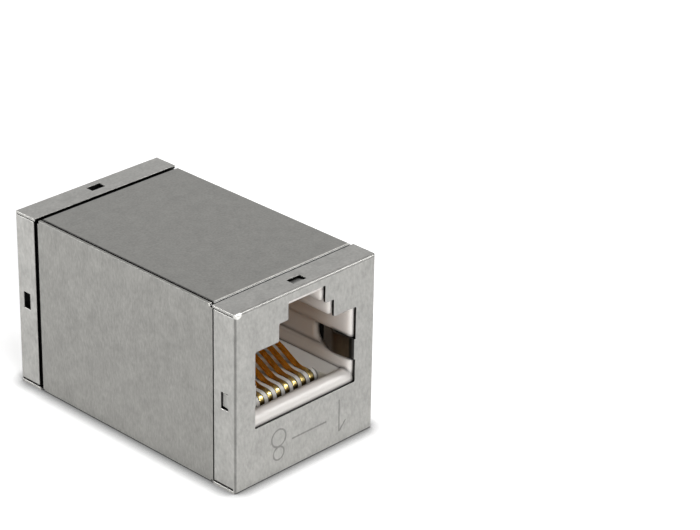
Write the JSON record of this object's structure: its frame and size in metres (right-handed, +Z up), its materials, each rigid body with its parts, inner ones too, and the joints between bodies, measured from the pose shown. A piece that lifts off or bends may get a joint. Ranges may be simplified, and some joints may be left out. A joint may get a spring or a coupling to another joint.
{
  "type": "rj45 inline coupler",
  "caption": "Shielded in-line coupler box with a modular jack at each end, folded sheet shield, ivory port mouldings and gilded spring contacts.",
  "frame": {"origin": "middle of the bottom face", "axes": "+X to the right along the front port, +Y from the front port to the rear port, +Z up through the latch notches"},
  "size_m": [0.0168, 0.0284, 0.0172],
  "materials": {
    "shield_sheet": "satin nickel plated sheet",
    "shield_cap_sheet": "satin nickel plated sheet",
    "ivory_moulding": "semi-gloss moulded plastic",
    "grey_moulding": "moulded plastic",
    "black_moulding": "moulded plastic",
    "gold_contact": "gold plated spring strip",
    "board_laminate": "glass epoxy laminate with solder mask"
  },
  "bodies": {
    "root": {"upper_shell": "shield_sheet", "lower_shell": "shield_sheet", "centre_frame": "black_moulding", "circuit_board": "board_laminate", "front_shield_cap": "shield_cap_sheet", "front_jack_housing": "ivory_moulding", "front_contact_carrier": "grey_moulding", "front_contact_1": "gold_contact", "front_contact_2": "gold_contact", "front_contact_3": "gold_contact", "front_contact_4": "gold_contact", "front_contact_5": "gold_contact", "front_contact_6": "gold_contact", "front_contact_7": "gold_contact", "front_contact_8": "gold_contact", "rear_shield_cap": "shield_cap_sheet", "rear_jack_housing": "ivory_moulding", "rear_contact_carrier": "grey_moulding", "rear_contact_1": "gold_contact", "rear_contact_2": "gold_contact", "rear_contact_3": "gold_contact", "rear_contact_4": "gold_contact", "rear_contact_5": "gold_contact", "rear_contact_6": "gold_contact", "rear_contact_7": "gold_contact", "rear_contact_8": "gold_contact"}
  },
  "joints": []
}
